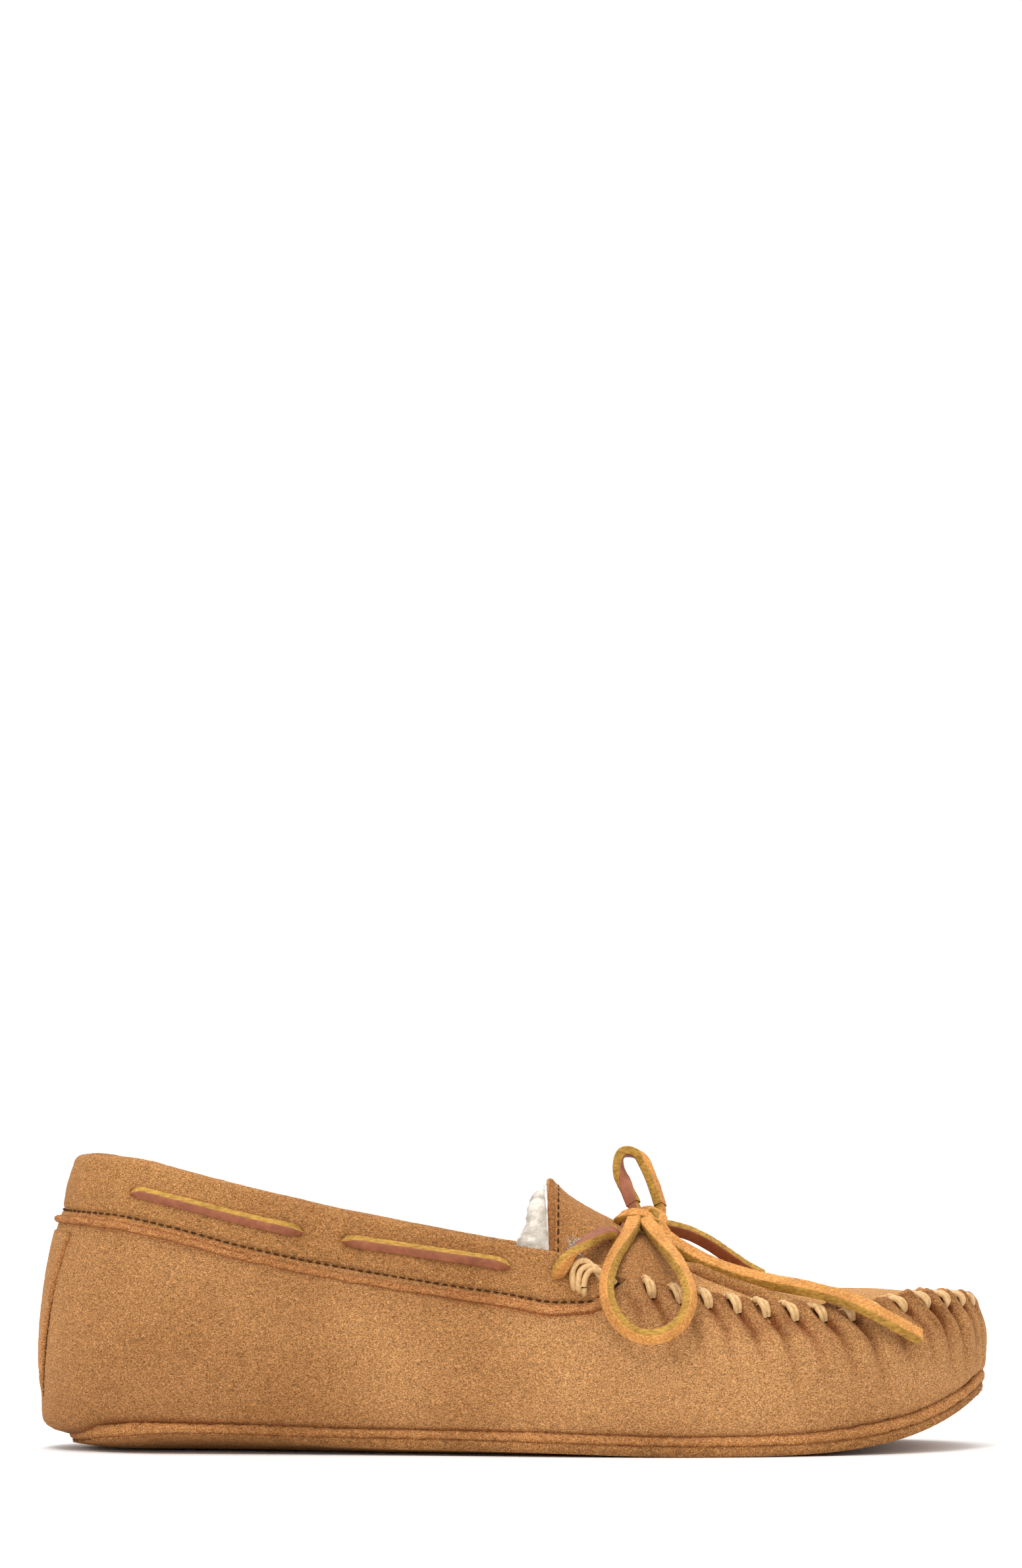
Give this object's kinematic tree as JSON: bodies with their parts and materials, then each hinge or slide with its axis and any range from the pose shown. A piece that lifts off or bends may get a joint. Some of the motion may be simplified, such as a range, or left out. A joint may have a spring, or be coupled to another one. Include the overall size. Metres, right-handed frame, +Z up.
{
  "type": "moccasin",
  "caption": "Fleece-lined suede moccasin slipper for the right foot, with a hinged tongue, a laced rolled collar and a soft suede sole.",
  "frame": {"origin": "on the ground, under the middle of the shoe's length and width", "axes": "+X from heel to toe, +Y to the inner (big toe) side, +Z up"},
  "size_m": [0.2914, 0.1123, 0.0913],
  "materials": {
    "suede_body": "napped tan suede",
    "suede_apron": "napped light tan suede",
    "suede_collar": "napped tan suede",
    "suede_sole": "rough brown suede",
    "rawhide_lace": "smooth brown grain with a raw golden edge",
    "waxed_cord": "waxed, twisted",
    "sewing_thread": "dark brown thread",
    "fleece": "cream wool pile",
    "foam": "soft foam",
    "counter_board": "stiff fibre board"
  },
  "bodies": {
    "shoe": {"outsole": "suede_sole", "rand": "suede_collar", "midsole_foam": "foam", "insole_fleece": "fleece", "upper": "suede_body", "heel_tab": "suede_body", "heel_counter": "counter_board", "quarter_lining": "fleece", "vamp_lining": "fleece", "collar": "suede_collar", "collar_welt": "suede_collar", "apron": "suede_apron", "apron_wing_outer": "suede_apron", "apron_wing_inner": "suede_apron", "apron_lining": "fleece", "collar_thread": "sewing_thread", "heel_tab_thread": "sewing_thread", "sole_thread": "sewing_thread", "whip_stitches": "waxed_cord", "end_wraps_outer": "waxed_cord", "end_wraps_inner": "waxed_cord", "lace_collar_run": "rawhide_lace", "lace_bridge_outer": "rawhide_lace", "lace_bridge_inner": "rawhide_lace", "lace_tail_outer": "rawhide_lace", "lace_tail_inner": "rawhide_lace"},
    "tongue": {"tongue": "suede_collar", "tongue_lining": "fleece", "tongue_thread": "sewing_thread", "lace_knot": "rawhide_lace", "lace_loop_outer": "rawhide_lace", "lace_loop_inner": "rawhide_lace"}
  },
  "joints": [
    {"name": "tongue_hinge", "type": "hinge", "parent": "shoe", "child": "tongue", "pos_m": [0.044, 0, 0.063], "axis": [0, 1, 0], "range_deg": [-5, 20], "deforming": ["lace_bridge_outer", "lace_bridge_inner", "lace_tail_outer", "lace_tail_inner", "lace_loop_outer", "lace_loop_inner"]}
  ]
}
